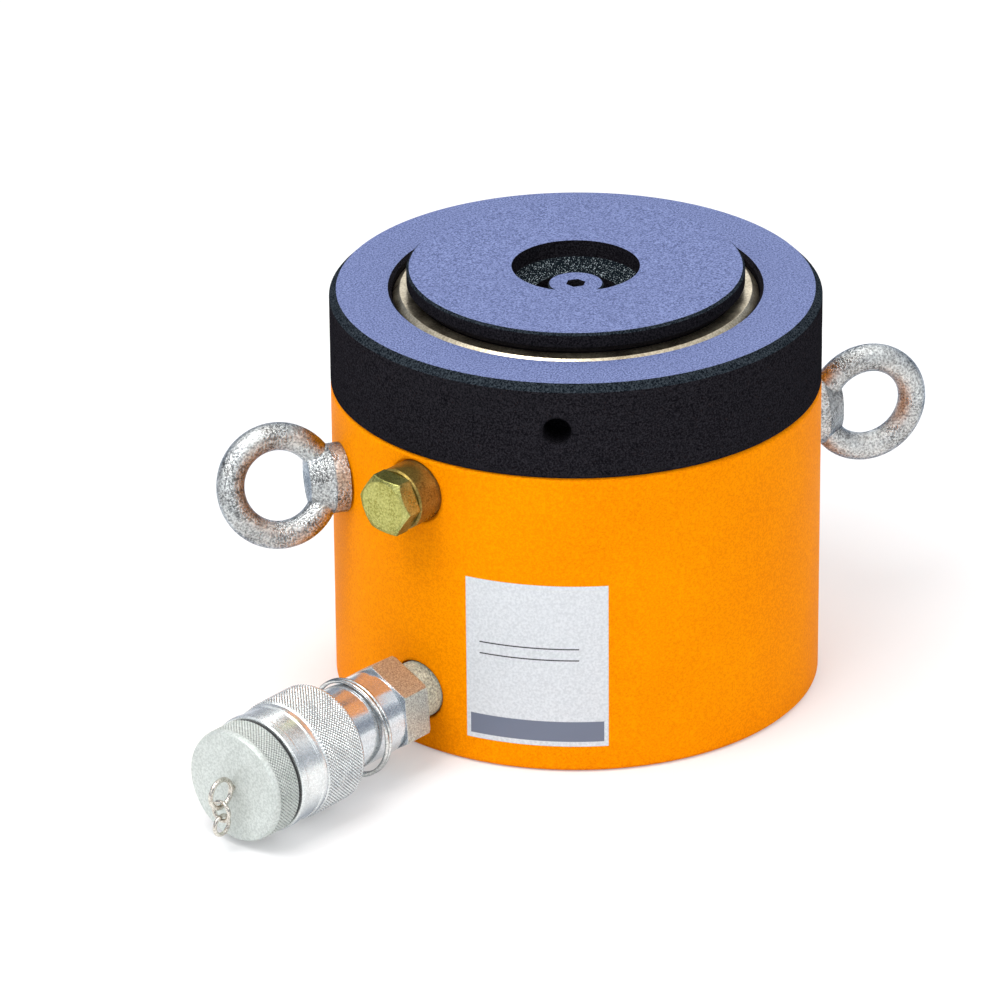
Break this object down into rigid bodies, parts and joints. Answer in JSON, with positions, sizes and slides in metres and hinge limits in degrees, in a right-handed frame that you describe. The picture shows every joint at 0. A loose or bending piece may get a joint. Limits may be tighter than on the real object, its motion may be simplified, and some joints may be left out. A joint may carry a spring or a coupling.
{
  "type": "pancake lock nut cylinder",
  "caption": "Low flat hydraulic jack with a threaded plunger, a lock nut run down onto the body, a tilting saddle, lifting eyes, an overflow port and a capped quick coupler.",
  "frame": {"origin": "centre of the flat base face, on the stroke axis", "axes": "+Z along the stroke towards the saddle, +X towards the right eye bolt; the ports point out at -148.3 degrees from +X, seen from above"},
  "size_m": [0.2404, 0.1608, 0.125],
  "materials": {
    "orange_paint": "gloss",
    "black_steel": "satin",
    "plunger_steel": "satin",
    "zinc_steel": "satin",
    "bright_steel": "polished",
    "spring_steel": "satin",
    "yellow_zinc": "satin",
    "bronze": "satin",
    "seal_rubber": "matte",
    "seal_plastic": "matte"
  },
  "bodies": {
    "cylinder": {"cylinder_body": "orange_paint", "eye_bolt_left": "zinc_steel", "eye_bolt_right": "zinc_steel", "overflow_seal": "bronze", "overflow_adapter": "yellow_zinc", "overflow_plug": "yellow_zinc", "port_nipple": "zinc_steel", "coupler_body": "bright_steel", "coupler_seal": "seal_rubber", "sleeve_snap_ring": "spring_steel", "poppet_guide": "bright_steel", "poppet_spring": "spring_steel"},
    "plunger": {"plunger": "plunger_steel", "piston_seal": "seal_rubber", "backup_ring": "seal_plastic", "guide_ring": "bronze", "saddle_screw": "black_steel", "saddle_washer": "black_steel"},
    "lock_nut": {"lock_nut": "black_steel"},
    "saddle": {"saddle": "black_steel"},
    "coupler_sleeve": {"coupler_sleeve": "bright_steel"},
    "dust_cap": {"dust_cap": "bright_steel", "cap_gasket": "seal_rubber", "cap_eye": "zinc_steel"},
    "chain_link_1": {"chain_link_1": "zinc_steel"},
    "chain_link_2": {"chain_link_2": "zinc_steel"},
    "lanyard_ring": {"lanyard_ring": "zinc_steel"},
    "poppet": {"coupler_poppet": "bright_steel"}
  },
  "joints": [
    {"name": "lock_nut_turn", "type": "hinge", "parent": "cylinder", "child": "lock_nut", "pos_m": [0, 0, 0.105], "axis": [0, 0, -1], "range_deg": [0, 4500]},
    {"name": "plunger_stroke", "type": "slide", "parent": "cylinder", "child": "plunger", "axis": [0, 0, 1], "range_m": [0, 0.05]},
    {"name": "saddle_tilt", "type": "hinge", "parent": "plunger", "child": "saddle", "pos_m": [0, 0, 0.165], "axis": [1, 0, 0], "range_deg": [-3, 3]},
    {"name": "coupler_sleeve_turn", "type": "hinge", "parent": "cylinder", "child": "coupler_sleeve", "pos_m": [-0.1055, -0.06516, 0.018], "axis": [0.8508, 0.5255, 0], "range_deg": [0, 1980]},
    {"name": "dust_cap_slide", "type": "slide", "parent": "cylinder", "child": "dust_cap", "axis": [-0.8508, -0.5255, 0], "range_m": [0, 0.0099]},
    {"name": "chain_link_1_swing", "type": "hinge", "parent": "dust_cap", "child": "chain_link_1", "pos_m": [-0.12937, -0.0799, 0.0139], "axis": [-0.8508, -0.5255, 0], "range_deg": [-60, 60]},
    {"name": "chain_link_2_swing", "type": "hinge", "parent": "chain_link_1", "child": "chain_link_2", "pos_m": [-0.12937, -0.0799, 0.00975], "axis": [-0.5255, 0.8508, 0], "range_deg": [-60, 60]},
    {"name": "lanyard_ring_turn", "type": "hinge", "parent": "cylinder", "child": "lanyard_ring", "pos_m": [-0.0838, -0.05176, 0.018], "axis": [-0.8508, -0.5255, 0], "continuous": true},
    {"name": "poppet_push", "type": "slide", "parent": "cylinder", "child": "poppet", "axis": [0.8508, 0.5255, 0], "range_m": [0, 0.004], "stiffness_N_per_m": 1000, "springref_m": -0.005, "deforming": ["poppet_spring"]}
  ],
  "couplings": [
    {"joint": "plunger_stroke", "follows": "lock_nut_turn", "m_per_rad": 0.00063662},
    {"joint": "coupler_sleeve_turn", "follows": "dust_cap_slide", "rad_per_m": 3490.7}
  ]
}
